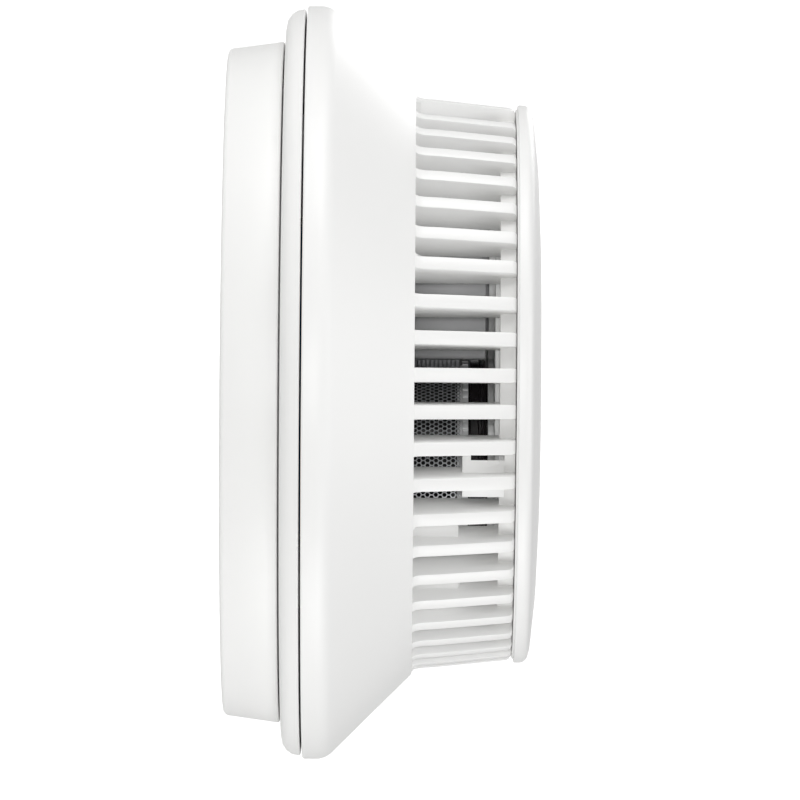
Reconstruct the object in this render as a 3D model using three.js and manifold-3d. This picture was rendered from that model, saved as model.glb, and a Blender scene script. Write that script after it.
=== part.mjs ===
// Ceiling smoke alarm with an optical chamber: a twist-off head on a mounting plate.
// Millimetres, +Z out of the front, origin at the centre of the plate's back face.
import * as THREE from "three";
import { mergeVertices } from "three/addons/utils/BufferGeometryUtils.js";
import Module from "manifold-3d";

const wasm = await Module();
wasm.setup();

// Driving dimensions
const GAP = 0.3; // clearance that neighbouring pieces keep
const ROUND = 48; // sides of a large turned piece
const SMALL_ROUND = 16; // sides of a post, hole or pin

const PLATE_R = 52.2; // mounting plate at its back face
const PLATE_R_FRONT = 53.4; // the plate's skirt drafts outwards
const PLATE_FLOOR = 2.4;
const SKIRT_TOP = 8.8;
const SKIRT_WALL = 2.0;
const SLOT_X = 30; // the two screw slots sit either side of the centre
const SLOT_LENGTH = 12;
const SLOT_WIDTH = 5;
const CABLE_HOLE_R = 10;

const LUG_COUNT = 3; // bayonet lugs on the plate and on the head
const LUG_HALF_ANGLE = 8; // degrees
const LUG_STOP_ANGLE = 9.4; // centre of the rib that stops the twist

const HEAD_FLOOR_Z = 3.6;
const HEAD_FLOOR_TOP = 5.4;
const BOSS_R = 46.8; // round boss of the head that enters the plate
const BOSS_WALL = 2.0;
const FLANGE_Z = 9.1;
const REAR_RIM_R = 58.5;
const REAR_RIM_ROUND = 2.7;
const SEAM_Z = 12.1; // parting line between the rear housing and the front cover

const RIM_R = 59; // the largest radius of the alarm
const CONE_SUM = 75; // on the 45 degree cone, radius plus height
const RIM_ROUND = 3.5;
const COVER_WALL = 2.0;
const CAGE_Z = 29.4; // the cone ends and the cage begins
const CAGE_INNER_R = 39.2;
const CAGE_TOP = 44.9;
const FIN_PITCHES = 49;
const FIN_COUNT = FIN_PITCHES - 1; // one pitch of the cage has no fin
const FIN_THICKNESS = 2.2;
const FIN_TURN = -91.55; // direction of the tenth fin, in degrees from +X
const FIN_OUTLINE = [[45.1, 29.4], [44.75, 30.3], [44.5, 33], [43.95, 38.2], [43.3, 44.3], [42.7, 44.9]];
const PILLAR_SHIFT = { 7: -0.6, 14: 0.2 }; // degrees that two of the fins stand away from their pitch
const CAGE_RING_R = 41.5;
const CAGE_RING_Z = 42.4;
const CLOSING_R = 38.3; // inside the ring the closing plate steps down to a flat drum
const CLOSING_Z = 41.7;
const CLOSING_TOP = 42.9;
const COLLAR_Z = 40.8; // collars under the closing plate seat the chamber lid and the sounder

const DISC_R = 43.7;
const DISC_Z = 45.3;
const DISC_WALL = 1.8;
const DOME = [[43.7, 46.0], [43.1, 47.1], [40.0, 47.95], [34, 48.55], [24, 49.0]];
const DOME_TOP = 49.2;
const DISC_POST_R = 1.6;
const DISC_POST_PITCH_R = 30;

const BUTTON_R = 15.7;
const BUTTON_GAP = 0.4;
const STEM = [-4.5, 11.5]; // the button's stem stands over the switch on the board
const STEM_R = 2.1;
const BUTTON_TRAVEL_GAP = 0.6; // free gap between the stem and the switch plunger
const LIGHT_PIPE = [-4, 20.4];
const LIGHT_PIPE_R = 1.5;

const BOARD_Z = 21;
const BOARD_TOP = 22.6;
const BOARD_R = 44;
const ON_BOARD = BOARD_TOP + GAP;

const CHAMBER = [17, -5]; // centre of the optical chamber
const CHAMBER_ROUND = 36;
const SCREEN_R = 20.7;
const SCREEN_TOP = 36.6;
const LID_TOP = 40.5;
const SPIGOT_TOP = 41.4; // the lid and the sounder cup locate inside the collars
const VANE_COUNT = 28;

const SOUNDER = [-18.7, -12.7];
const SOUNDER_R = 15;
const SOUNDER_SPLIT = 28.4; // top of the sounder's base
const SOUNDER_ROUND = 32;

const COLUMN_R = 39.8; // pitch radius of the three screw columns
const COLUMN_ANGLES = [-40, 80, 200];

// Geometry: each of these makes one closed solid that booleans can join and cut
function solidOf(geometry) {
  geometry.deleteAttribute("normal");
  geometry.deleteAttribute("uv");
  const merged = mergeVertices(geometry, 1e-4);
  const index = merged.index.array;
  const triVerts = [];
  for (let i = 0; i < index.length; i += 3) {
    const [a, b, c] = index.slice(i, i + 3);
    if (a !== b && b !== c && a !== c) triVerts.push(a, b, c);
  }
  const vertProperties = merged.attributes.position.array;
  return new wasm.Manifold(
    new wasm.Mesh({ numProp: 3, vertProperties, triVerts: new Uint32Array(triVerts) }),
  );
}

// A profile of [radius, height] pairs, anticlockwise, turned about +Z
function turned(profile, sides = ROUND) {
  const points = profile.map(([r, z]) => new THREE.Vector2(r, z));
  if (profile[0][0] > 0) points.push(points[0].clone());
  return solidOf(new THREE.LatheGeometry(points, sides).rotateX(Math.PI / 2));
}

function ring(inner, outer, low, high, sides = ROUND) {
  return turned([[inner, low], [outer, low], [outer, high], [inner, high]], sides);
}

function rod(x, y, radius, low, high, sides = SMALL_ROUND) {
  const profile = [[0, low], [radius, low], [radius, high], [0, high]];
  return turned(profile, sides).translate([x, y, 0]);
}

function block([x0, x1], [y0, y1], [z0, z1]) {
  const box = new THREE.BoxGeometry(x1 - x0, y1 - y0, z1 - z0);
  return solidOf(box.translate((x0 + x1) / 2, (y0 + y1) / 2, (z0 + z1) / 2));
}

function extruded(shape, low, high, curveSegments = 12) {
  const options = { depth: high - low, bevelEnabled: false, curveSegments };
  return solidOf(new THREE.ExtrudeGeometry(shape, options).translate(0, 0, low));
}

// A piece of a ring between two directions, in degrees
function sector(inner, outer, from, to, low, high) {
  const [a, b] = [from, to].map(THREE.MathUtils.degToRad);
  const shape = new THREE.Shape().absarc(0, 0, outer, a, b, false).absarc(0, 0, inner, b, a, true);
  return extruded(shape, low, high, 6);
}

function slotShape(x, y, length, width) {
  const half = (length - width) / 2;
  return new THREE.Shape()
    .absarc(x + half, y, width / 2, -Math.PI / 2, Math.PI / 2, false)
    .absarc(x - half, y, width / 2, Math.PI / 2, (3 * Math.PI) / 2, false);
}

const join = (...solids) => solids.reduce((sum, s) => sum.add(s));
const cut = (solid, ...tools) => tools.reduce((rest, t) => rest.subtract(t), solid);
const around = (solid, count, first = 0) =>
  join(...Array.from({ length: count }, (_, i) => solid.rotate([0, 0, first + (i * 360) / count])));

function polar(radius, degrees) {
  const angle = THREE.MathUtils.degToRad(degrees);
  return [radius * Math.cos(angle), radius * Math.sin(angle)];
}

// Points of an arc of a profile, from one direction to another in degrees
function arc(r, z, radius, from, to, steps) {
  return Array.from({ length: steps + 1 }, (_, i) => {
    const [x, y] = polar(radius, from + ((to - from) * i) / steps);
    return [r + x, z + y];
  });
}

// Materials
const plastic = (color, roughness) => new THREE.MeshStandardMaterial({ color, roughness, metalness: 0 });
const metal = (color, roughness) => new THREE.MeshStandardMaterial({ color, roughness, metalness: 1 });
const whiteAbs = plastic(0xf4f4f2, 0.45);
const blackAbs = plastic(0x1b1b1c, 0.5);
const greyPlastic = plastic(0x9a9a9a, 0.5);
const boardGreen = plastic(0x1d5a3a, 0.5);
const clearAcrylic = plastic(0xe6eef2, 0.1);
const labelWhite = plastic(0xe9e9e6, 0.6);
const wireBlack = plastic(0x18181a, 0.5);
const cellSleeve = plastic(0x3a5f8c, 0.35);
const ceramic = plastic(0xefe9dc, 0.6);
const steel = metal(0xb8babd, 0.35);
const brass = metal(0xc9a657, 0.3);
const tinned = metal(0xc6c8ca, 0.3);

const alarm = new THREE.Group();
function add(name, solid, material, parent = alarm) {
  const { vertProperties, triVerts } = solid.getMesh();
  const geometry = new THREE.BufferGeometry();
  geometry.setAttribute("position", new THREE.BufferAttribute(vertProperties, 3));
  geometry.setIndex(new THREE.BufferAttribute(triVerts, 1));
  const mesh = new THREE.Mesh(geometry, material);
  mesh.name = name;
  parent.add(mesh);
}

// Mounting plate: a shallow drafted dish with screw slots, a cable hole, lugs and a switch striker
const plateDish = turned([
  [0, 0], [PLATE_R - 1, 0], [PLATE_R - 0.3, 0.3], [PLATE_R, 1], [PLATE_R_FRONT, SKIRT_TOP],
  [PLATE_R_FRONT - SKIRT_WALL, SKIRT_TOP], [PLATE_R - SKIRT_WALL, PLATE_FLOOR], [0, PLATE_FLOOR],
]);
const plateInner = PLATE_R - 0.3; // inside the wall, so that a lug joins it
const plateLug = join(
  sector(47.4, plateInner, -LUG_HALF_ANGLE, LUG_HALF_ANGLE, 6.6, 8.2),
  sector(47.4, plateInner, -LUG_STOP_ANGLE - 0.8, -LUG_STOP_ANGLE + 0.8, PLATE_FLOOR - 0.5, 8.2),
);
const screwSlots = [-SLOT_X, SLOT_X].map((x) =>
  extruded(slotShape(x, 0, SLOT_LENGTH, SLOT_WIDTH), -1, PLATE_FLOOR + 1),
);
const SLIDER_R = 38; // radius of the power slider and of its striker
const SLIDER_ANGLE = 30;
const striker = block([SLIDER_R - 1.5, SLIDER_R + 1.5], [-4.0, -2.4], [PLATE_FLOOR - 0.5, 3.3])
  .rotate([0, 0, SLIDER_ANGLE]);
add(
  "mounting_plate",
  cut(
    join(plateDish, around(plateLug, LUG_COUNT), striker),
    ...screwSlots,
    rod(0, 0, CABLE_HOLE_R, -1, PLATE_FLOOR + 1, 48),
  ),
  whiteAbs,
);

// Rear housing: a stepped dish, whose boss enters the plate, with three screw columns
const columnAt = (radius, low, high, sides) =>
  COLUMN_ANGLES.map((angle) => rod(...polar(COLUMN_R, angle), radius, low, high, sides));
const rearShell = turned([
  [0, HEAD_FLOOR_Z], [BOSS_R - 0.6, HEAD_FLOOR_Z], [BOSS_R, HEAD_FLOOR_Z + 0.6], [BOSS_R, FLANGE_Z],
  ...arc(REAR_RIM_R - REAR_RIM_ROUND, FLANGE_Z + REAR_RIM_ROUND, REAR_RIM_ROUND, -90, 0, 4),
  [REAR_RIM_R, SEAM_Z - 0.3], [REAR_RIM_R - 0.3, SEAM_Z], [REAR_RIM_R - 2.2, SEAM_Z],
  [REAR_RIM_R - 2.2, FLANGE_Z + 1.9], [BOSS_R - BOSS_WALL, FLANGE_Z + 1.9],
  [BOSS_R - BOSS_WALL, HEAD_FLOOR_TOP], [0, HEAD_FLOOR_TOP],
]);
const headLug = sector(BOSS_R - 0.5, 49.8, -LUG_HALF_ANGLE, LUG_HALF_ANGLE, 4.0, 6.2);
const COLUMN_SPLIT = 15.9;
const sliderSlot = block([SLIDER_R - 1.9, SLIDER_R + 1.9], [-6.6, 2.4], [2, 7]).rotate([0, 0, SLIDER_ANGLE]);
add(
  "rear_housing",
  cut(
    join(rearShell, around(headLug, LUG_COUNT), ...columnAt(4.2, HEAD_FLOOR_TOP - 0.5, COLUMN_SPLIT)),
    ...columnAt(3.1, 2, 7.7),
    ...columnAt(1.6, 7, 17),
    sliderSlot,
  ),
  whiteAbs,
);

// Front cover: rim, 45 degree cone, cage of fins and the sloping closing plate, one moulding
const coneStart = RIM_ROUND * Math.tan(Math.PI / 8); // where the rounding leaves the rim
const rimCorner = CONE_SUM - RIM_R;
const innerSum = CONE_SUM - COVER_WALL * Math.SQRT2;
const coverShell = turned([
  [RIM_R - COVER_WALL, SEAM_Z + GAP], [RIM_R - 0.4, SEAM_Z + GAP], [RIM_R, SEAM_Z + GAP + 0.4],
  ...arc(RIM_R - RIM_ROUND, rimCorner - coneStart, RIM_ROUND, 0, 45, 4),
  [CONE_SUM - CAGE_Z, CAGE_Z], [CAGE_INNER_R, CAGE_Z], [CAGE_INNER_R, CAGE_Z - 1.8],
  [innerSum - CAGE_Z + 1.8, CAGE_Z - 1.8], [RIM_R - COVER_WALL, innerSum - RIM_R + COVER_WALL],
]);
const closingPlate = turned([
  [0, CLOSING_Z], [CLOSING_R, CLOSING_Z], [CLOSING_R + 0.2, CAGE_RING_Z], [CAGE_RING_R, CAGE_RING_Z],
  [CAGE_RING_R, CAGE_TOP], [CAGE_INNER_R, CAGE_TOP], [CAGE_INNER_R, CLOSING_TOP + 0.6],
  [CLOSING_R - 1, CLOSING_TOP], [0, CLOSING_TOP],
]);
const seatCollar = ([x, y], inner, outer, sides) =>
  ring(inner, outer, COLLAR_Z, CLOSING_Z + 0.5, sides).translate([x, y, 0]);
const finShape = new THREE.Shape([
  new THREE.Vector2(CAGE_INNER_R, CAGE_Z - 1),
  new THREE.Vector2(FIN_OUTLINE[0][0] - 0.6, CAGE_Z - 1),
  ...FIN_OUTLINE.map(([r, z]) => new THREE.Vector2(r, z)),
  new THREE.Vector2(CAGE_INNER_R, CAGE_TOP),
]);
const fin = solidOf(
  new THREE.ExtrudeGeometry(finShape, { depth: FIN_THICKNESS, bevelEnabled: false })
    .translate(0, 0, -FIN_THICKNESS / 2)
    .rotateX(Math.PI / 2),
);
const finPitch = 360 / FIN_PITCHES;
const fins = Array.from({ length: FIN_COUNT }, (_, i) =>
  fin.rotate([0, 0, FIN_TURN + (i + 1 - 10) * finPitch + (PILLAR_SHIFT[i + 1] ?? 0)]),
);
const coverColumns = columnAt(2.6, COLUMN_SPLIT + GAP, SCREEN_TOP);
const latch = block([9.8, 17.3], [-39.6, -37.6], [36.8, CAGE_RING_Z + 0.6]);
const latchWindow = block([10.95, 11.72], [-44, -37], [38.1, 43.2]);
const finRib = block([21.5, 23.5], [-35.1, -32.5], [CAGE_Z - 1, 36.3]);
const discPosts = [45, 165, 285].map((angle) => polar(DISC_POST_PITCH_R, angle));
add(
  "front_cover",
  cut(
    join(
      coverShell, closingPlate, ...fins, ...coverColumns, latch, finRib,
      seatCollar(CHAMBER, 18.5, 21.2, CHAMBER_ROUND), seatCollar(SOUNDER, 12.5, SOUNDER_R, SOUNDER_ROUND),
    ),
    ...columnAt(1.55, 15, 28),
    latchWindow,
    rod(...STEM, STEM_R + 0.4, 40, 44),
    rod(...LIGHT_PIPE, LIGHT_PIPE_R + GAP, 40, 44),
    rod(...SOUNDER, 4.5, 40, 44),
    ...discPosts.map(([x, y]) => rod(x, y, DISC_POST_R + 0.4, 40, 45, 16)),
  ),
  whiteAbs,
);

// Front disc: a shallow domed cap over the closing plate, with a guide collar for the button
const collarR = BUTTON_R + BUTTON_GAP;
const domeInner = DOME.slice(2, 4).map(([r, z]) => [r, z - DISC_WALL]);
const discShell = turned([
  [collarR, 45.5], [collarR + 1.5, 45.5], [collarR + 1.5, 47.3],
  ...domeInner.reverse(), [DISC_R - DISC_WALL, DISC_Z], [DISC_R - 0.2, DISC_Z], [DISC_R, DISC_Z + 0.2],
  ...DOME, [collarR + 0.3, DOME_TOP - 0.1], [collarR, DOME_TOP - 0.4],
]);
add(
  "front_disc",
  cut(
    join(discShell, ...discPosts.map(([x, y]) => rod(x, y, DISC_POST_R, COLLAR_Z, 47.4, 16))),
    rod(...LIGHT_PIPE, LIGHT_PIPE_R + GAP, 44, 50),
  ),
  whiteAbs,
);

// Test button: a round cap with a shallow finger dish, a retaining lip and a stem over the switch
const buttonCap = turned([
  [0, 46.9], [BUTTON_R - 1.8, 46.9], [BUTTON_R - 1.8, 44.0], [BUTTON_R + 1.3, 44.0], [BUTTON_R + 1.3, 44.9],
  [BUTTON_R, 44.9], [BUTTON_R, 48.5], [BUTTON_R - 0.2, 48.9], [BUTTON_R - 0.7, DOME_TOP - 0.1],
  [12, DOME_TOP - 0.1], [6, 48.6], [0, 48.5],
], 48);
const TACT_TOP = 28.1;
add("test_button", join(buttonCap, rod(...STEM, STEM_R, TACT_TOP + BUTTON_TRAVEL_GAP, 47.4)), whiteAbs);

// Light pipe: an acrylic rod that carries the status light to the front
add("light_pipe", join(
  rod(...LIGHT_PIPE, LIGHT_PIPE_R, 25.8, 48.95),
  rod(...LIGHT_PIPE, LIGHT_PIPE_R + 0.8, 39.2, 40.5),
), clearAcrylic);

// Main board and what is soldered on it
const boardShape = new THREE.Shape().absarc(0, 0, BOARD_R, 0, 2 * Math.PI, false);
add("main_board", cut(extruded(boardShape, BOARD_Z, BOARD_TOP, 24), ...columnAt(3.2, 20, 24)), boardGreen);
const [stemX, stemY] = STEM;
add("tact_switch", cut(
  block([stemX - 3, stemX + 3], [stemY - 3, stemY + 3], [ON_BOARD, 26.4]),
  rod(...STEM, 2.1, 24.9, 27),
), blackAbs);
add("tact_plunger", rod(...STEM, 1.75, 25.6, TACT_TOP), greyPlastic);
const [pipeX, pipeY] = LIGHT_PIPE;
add("status_led", join(
  block([pipeX - 1.75, pipeX + 1.75], [pipeY - 1.4, pipeY + 1.4], [ON_BOARD, 24.3]),
  rod(...LIGHT_PIPE, 1.1, 24, 25.2, 16),
), clearAcrylic);
add("controller_chip", block([-24, -15], [13, 22], [ON_BOARD, 24.3]), blackAbs);
add("step_up_coil", join(
  rod(-16, 30, 4, ON_BOARD, 24), rod(-16, 30, 2.4, 23.8, 29.6), rod(-16, 30, 4, 29.4, 30.8),
), blackAbs);
add("buffer_capacitor", join(rod(19, 27, 3.15, ON_BOARD, 33.6), rod(19, 27, 2.9, 33, 34.1)), cellSleeve);

// Radio board under the main board, with its shield can and wire aerial
add("radio_board", block([-22, 4], [-34, -18], [18.2, 19.4]), boardGreen);
add("radio_shield", block([-20, -4], [-32.5, -19.5], [15.2, 17.9]), tinned);
const aerialPath = new THREE.CatmullRomCurve3(
  Array.from({ length: 9 }, (_, i) => {
    const [x, y] = polar(39, -84 - i * 8);
    return new THREE.Vector3(x, y, 17.4);
  }),
);
const aerialSection = new THREE.Shape().absarc(0, 0, 0.7, 0, 2 * Math.PI, false);
add("aerial_wire", solidOf(new THREE.ExtrudeGeometry(aerialSection, {
  steps: 16, bevelEnabled: false, extrudePath: aerialPath, curveSegments: 4,
})), wireBlack);

// Long-life cell lying behind the board, between two spring clips
const CELL_Y = 18;
const CELL_Z = 13.1;
const CELL_R = 7.1;
const cellProfile = [
  [0, -25], [CELL_R, -25], [CELL_R, 23], [CELL_R - 0.8, 24], [2.6, 24], [2.6, 25.2], [0, 25.2],
];
add("battery_cell", turned(cellProfile, 32).rotate([0, 90, 0]).translate([0, CELL_Y, CELL_Z]), cellSleeve);
for (const [name, side] of [["battery_clip_positive", 1], ["battery_clip_negative", -1]]) {
  const faces = [side * 25.6, side * 26.1].sort((a, b) => a - b);
  const foot = [side * 25.6, side * 27.6].sort((a, b) => a - b);
  add(name, join(
    block(faces, [CELL_Y - 5, CELL_Y + 5], [6.2, 20.7]),
    block(foot, [CELL_Y - 5, CELL_Y + 5], [20.2, 20.7]),
  ), steel);
}

// Power slider: held in the rear housing's floor, pushed home by the plate's striker
add("power_slider", join(
  block([SLIDER_R - 1.5, SLIDER_R + 1.5], [-2, 2], [2.8, 6.2]),
  block([SLIDER_R - 2.6, SLIDER_R + 2.6], [-2.4, 2.4], [5.8, 7.4]),
  block([SLIDER_R - 1, SLIDER_R + 1], [-1, 1], [7, 17.2]),
).rotate([0, 0, SLIDER_ANGLE]), blackAbs);
add("slide_switch", block([SLIDER_R - 3, SLIDER_R + 3], [-8, 4], [17.5, BOARD_Z - GAP])
  .rotate([0, 0, SLIDER_ANGLE]), blackAbs);

// Optical chamber: base with its emitter and receiver, labyrinth, insect screen, clamp ring and lid
const chamber = new THREE.Group();
chamber.position.set(...CHAMBER, 0);
alarm.add(chamber);
const OPTICS_Z = 30;
const holder = (angle, bore) => cut(
  block([9.6, 14.8], [-3.8, 3.8], [24.5, 33.4]),
  rod(0, 0, bore, 9, 14.4, 16).rotate([0, 90, 0]).translate([0, 0, OPTICS_Z]),
).rotate([0, 0, angle]);
add("chamber_base", join(
  turned([
    [0, ON_BOARD], [21, ON_BOARD], [21, 24.9], [19.9, 24.9], [19.9, 26.4], [19.2, 26.4], [19.2, 24.9], [0, 24.9],
  ], CHAMBER_ROUND),
  holder(20, 2.8), holder(150, 2.8),
  block([2, 3.2], [2.6, 9], [24.5, 33.4]).rotate([0, 0, -5]),
), blackAbs, chamber);
const emitter = turned([[0, 8.2], [1.6, 8.6], [2.45, 10], [2.45, 13.6], [0, 13.6]], 16);
const aimed = (part, turn) => part.rotate([0, 90, 0]).rotate([0, 0, turn]).translate([0, 0, OPTICS_Z]);
add("ir_led", aimed(emitter, 20), clearAcrylic, chamber);
const receiver = block([-1.8, 1.8], [-1.8, 1.8], [10.2, 12.8]);
add("photodiode", aimed(receiver, 150), blackAbs, chamber);
const vane = join(
  block([15.9, 18.8], [-0.4, 0.4], [25.3, 35.4]),
  block([-0.4, 0.4], [-2, 2], [25.3, 35.4]).rotate([0, 0, 35]).translate([17.1, 0.9, 0]),
);
const vaneRing = ring(15.4, 18.8, 35.2, 36.4, CHAMBER_ROUND);
add("labyrinth", join(vaneRing, around(vane, VANE_COUNT, 4)), blackAbs, chamber);
add("insect_screen", ring(SCREEN_R - 0.5, SCREEN_R, 25.2, SCREEN_TOP, CHAMBER_ROUND), steel, chamber);
const clampNotch = block([20.4, 22], [-0.8, 0.8], [37.4, 38]);
const clampRing = turned([
  [18.6, 36.9], [19.1, 36.9], [19.1, 36.1], [19.9, 36.1], [19.9, 36.9], [21.2, 36.9], [21.2, 37.8],
  [18.6, 37.8],
], CHAMBER_ROUND);
add("screen_clamp", cut(clampRing, around(clampNotch, 16)), tinned, chamber);
add("chamber_lid", turned([
  [0, 38.1], [17.3, 38.1], [17.3, 37.2], [18.3, 37.2], [18.3, 38.1], [20.9, 38.1], [20.9, 39.3], [21.2, 39.5],
  [21.2, 39.8], [20.8, 40.0], [20.8, 40.3], [20.5, LID_TOP],
  [18.2, LID_TOP], [18.2, SPIGOT_TOP], [0, SPIGOT_TOP],
], CHAMBER_ROUND), blackAbs, chamber);

// Piezo sounder: base, brass disc with its ceramic, and resonator cup, round but for one square corner
const sounder = new THREE.Group();
sounder.position.set(...SOUNDER, 0);
alarm.add(sounder);
const sounderCorner = (low, high) => block([0, SOUNDER_R], [-SOUNDER_R, 0], [low, high]);
const sounderBore = (radius, low, high) => rod(0, 0, radius, low, high, SOUNDER_ROUND);
const baseBody = join(
  sounderBore(SOUNDER_R, ON_BOARD, SOUNDER_SPLIT), sounderCorner(ON_BOARD, SOUNDER_SPLIT),
);
add("sounder_base", cut(baseBody, sounderBore(12.4, ON_BOARD - 1, SOUNDER_SPLIT + 1)), greyPlastic, sounder);
add("piezo_disc", rod(0, 0, 13.6, 28.7, 29, SOUNDER_ROUND), brass, sounder);
add("piezo_ceramic", rod(0, 0, 9.5, 29.3, 29.55, SOUNDER_ROUND), ceramic, sounder);
const cupBody = join(
  turned([
    [0, 29.3], [SOUNDER_R, 29.3], [SOUNDER_R, 39.6], [SOUNDER_R - 0.9, LID_TOP], [12.2, LID_TOP],
    [12.2, SPIGOT_TOP], [0, SPIGOT_TOP],
  ], SOUNDER_ROUND),
  sounderCorner(29.3, 39.6),
);
add("sounder_cup", cut(cupBody, sounderBore(12.9, 28, 38.6), sounderBore(4.5, 38, 42)), greyPlastic, sounder);
[["sounder_pin_inner", 0], ["sounder_pin_outer", 11]].forEach(([name, x]) => {
  add(name, rod(x, 0, 0.6, ON_BOARD, SOUNDER_SPLIT, 12), brass, sounder);
});

// Housing screws, driven from behind into the front cover's columns
COLUMN_ANGLES.forEach((angle, i) => {
  const [x, y] = polar(COLUMN_R, angle);
  const slot = block([-1.6, 1.6], [-0.35, 0.35], [5, 6.6]);
  const recess = join(slot, slot.rotate([0, 0, 90]));
  const screw = cut(
    turned([
      [0, 5.7], [2, 5.7], [2.7, 6.4], [2.7, 7.4], [1.25, 7.4], [1.25, 26], [0.6, 27.2], [0, 27.2],
    ], SMALL_ROUND),
    recess,
  );
  add(`housing_screw_${i + 1}`, screw.translate([x, y, 0]), steel);
});

// Blank label on the back of the head
add("blank_label", block([-14, 14], [-34, -18], [3.1, 3.3]), labelWhite);

export default alarm;
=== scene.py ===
import math

import bmesh
import bpy
from mathutils import Matrix, Vector


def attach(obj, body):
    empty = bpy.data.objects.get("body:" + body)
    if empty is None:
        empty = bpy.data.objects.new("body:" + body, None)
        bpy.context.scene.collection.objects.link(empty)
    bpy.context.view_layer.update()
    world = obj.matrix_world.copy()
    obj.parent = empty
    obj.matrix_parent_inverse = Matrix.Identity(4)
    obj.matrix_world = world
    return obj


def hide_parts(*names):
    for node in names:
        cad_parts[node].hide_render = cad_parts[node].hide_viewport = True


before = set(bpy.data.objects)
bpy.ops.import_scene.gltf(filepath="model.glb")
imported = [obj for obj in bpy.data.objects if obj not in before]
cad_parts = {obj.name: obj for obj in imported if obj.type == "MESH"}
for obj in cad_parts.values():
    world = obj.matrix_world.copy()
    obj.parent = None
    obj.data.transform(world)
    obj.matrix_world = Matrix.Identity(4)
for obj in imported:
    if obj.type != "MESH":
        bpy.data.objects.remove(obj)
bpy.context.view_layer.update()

MM = 0.001

# ---- Camera -------------------------------------------------------------------------------
# A long lens looks at the alarm exactly from the side. It is held upright, so the alarm's
# back is on the left of the picture and its front on the right.
CAMERA_DISTANCE = 1300 * MM
VIEW_WIDTH = 125.490196 * MM  # what the picture takes in at the alarm's axis
AIM = Vector((2.64 * MM, 0, 27.25 * MM))
CAMERA_ROLL = math.radians(0.45)

camera = bpy.data.objects.new("camera", bpy.data.cameras.new("camera"))
bpy.context.collection.objects.link(camera)
camera.data.sensor_width = 36
camera.data.lens = camera.data.sensor_width * CAMERA_DISTANCE / VIEW_WIDTH
camera.data.clip_start = 0.1
camera.data.clip_end = 20
picture_right, picture_up = Vector((0, 0, 1)), Vector((-1, 0, 0))
right = picture_right * math.cos(CAMERA_ROLL) + picture_up * math.sin(CAMERA_ROLL)
up = picture_up * math.cos(CAMERA_ROLL) - picture_right * math.sin(CAMERA_ROLL)
towards_lens = right.cross(up)
camera.matrix_world = Matrix.Translation(AIM + towards_lens * CAMERA_DISTANCE) @ Matrix(
    (right, up, towards_lens)).transposed().to_4x4()
bpy.context.scene.camera = camera

# ---- Studio -------------------------------------------------------------------------------
# A bright white room: an even white surround, two large softboxes at either side of the lens,
# one overhead, one behind and a small one beside the lens, a pale floor and a far white wall.
bpy.context.scene.view_settings.view_transform = "Standard"


def linear(hex_colour):
    """An sRGB hex colour such as "#F2F2F0" as linear red, green, blue and alpha."""
    parts = [int(hex_colour[i:i + 2], 16) / 255 for i in (1, 3, 5)]
    return [c / 12.92 if c <= 0.04045 else ((c + 0.055) / 1.055) ** 2.4 for c in parts] + [1]


def add_node(tree, kind, inputs=None, **settings):
    """Adds one node, with its settings, and its inputs as values or as links from sockets."""
    made = tree.nodes.new(kind)
    for name, value in settings.items():
        setattr(made, name, value)
    for socket, value in (inputs or {}).items():
        if isinstance(value, bpy.types.NodeSocket):
            tree.links.new(value, made.inputs[socket])
        else:
            made.inputs[socket].default_value = value
    return made


surround = bpy.data.worlds.new("white surround")
bpy.context.scene.world = surround
surround.use_nodes = True
surround.node_tree.nodes["Background"].inputs["Color"].default_value = linear("#FFFFFF")
surround.node_tree.nodes["Background"].inputs["Strength"].default_value = 0.32


def softbox(name, place, size, watts, aim=(0, 0, 0.027)):
    """A square area lamp of that size, in metres, turned towards the alarm."""
    lamp = bpy.data.objects.new(name, bpy.data.lights.new(name, "AREA"))
    bpy.context.collection.objects.link(lamp)
    lamp.data.size = size
    lamp.data.energy = watts
    lamp.location = place
    lamp.rotation_mode = "QUATERNION"
    lamp.rotation_quaternion = (Vector(aim) - Vector(place)).to_track_quat("-Z", "Y")


softbox("upper softbox", (-1.1, -0.45, 0.25), 0.7, 7.0)
softbox("lower softbox", (1.1, -0.45, 0.25), 0.7, 6.3)
softbox("overhead softbox", (0, -0.3, 1.2), 0.8, 3.2)
softbox("front softbox", (-0.03, -1.45, 0.05), 0.14, 4.3)
softbox("rear softbox", (-0.5, 1.3, 0.6), 0.6, 4)

floor = bpy.data.objects.new("floor", bpy.data.meshes.new("floor"))
wall = bpy.data.objects.new("wall", bpy.data.meshes.new("wall"))
for sheet, glow, corners in (
    (floor, 0, [(-0.5, -0.27, -0.05), (0.5, -0.27, -0.05), (0.5, 0.27, -0.05), (-0.5, 0.27, -0.05)]),
    (wall, 0.9, [(-0.5, 2.3, -0.5), (0.5, 2.3, -0.5), (0.5, 2.3, 0.6), (-0.5, 2.3, 0.6)]),
):
    bpy.context.collection.objects.link(sheet)
    sheet.data.from_pydata(corners, [], [(0, 1, 2, 3)])
    paint = bpy.data.materials.new("matt studio paint, " + sheet.name)
    paint.use_nodes = True
    paint_shader = paint.node_tree.nodes["Principled BSDF"]
    paint_shader.inputs["Base Color"].default_value = linear("#F4F4F3")
    paint_shader.inputs["Roughness"].default_value = 0.9
    paint_shader.inputs["Emission Color"].default_value = linear("#FFFFFF")
    paint_shader.inputs["Emission Strength"].default_value = glow
    sheet.data.materials.append(paint)

# ---- Mounting plate -----------------------------------------------------------------------
# A shallow round dish moulded in white ABS, with two screw slots, a cable hole and three
# bayonet lugs inside its rim. It stays on the ceiling when the head is twisted off.


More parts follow.
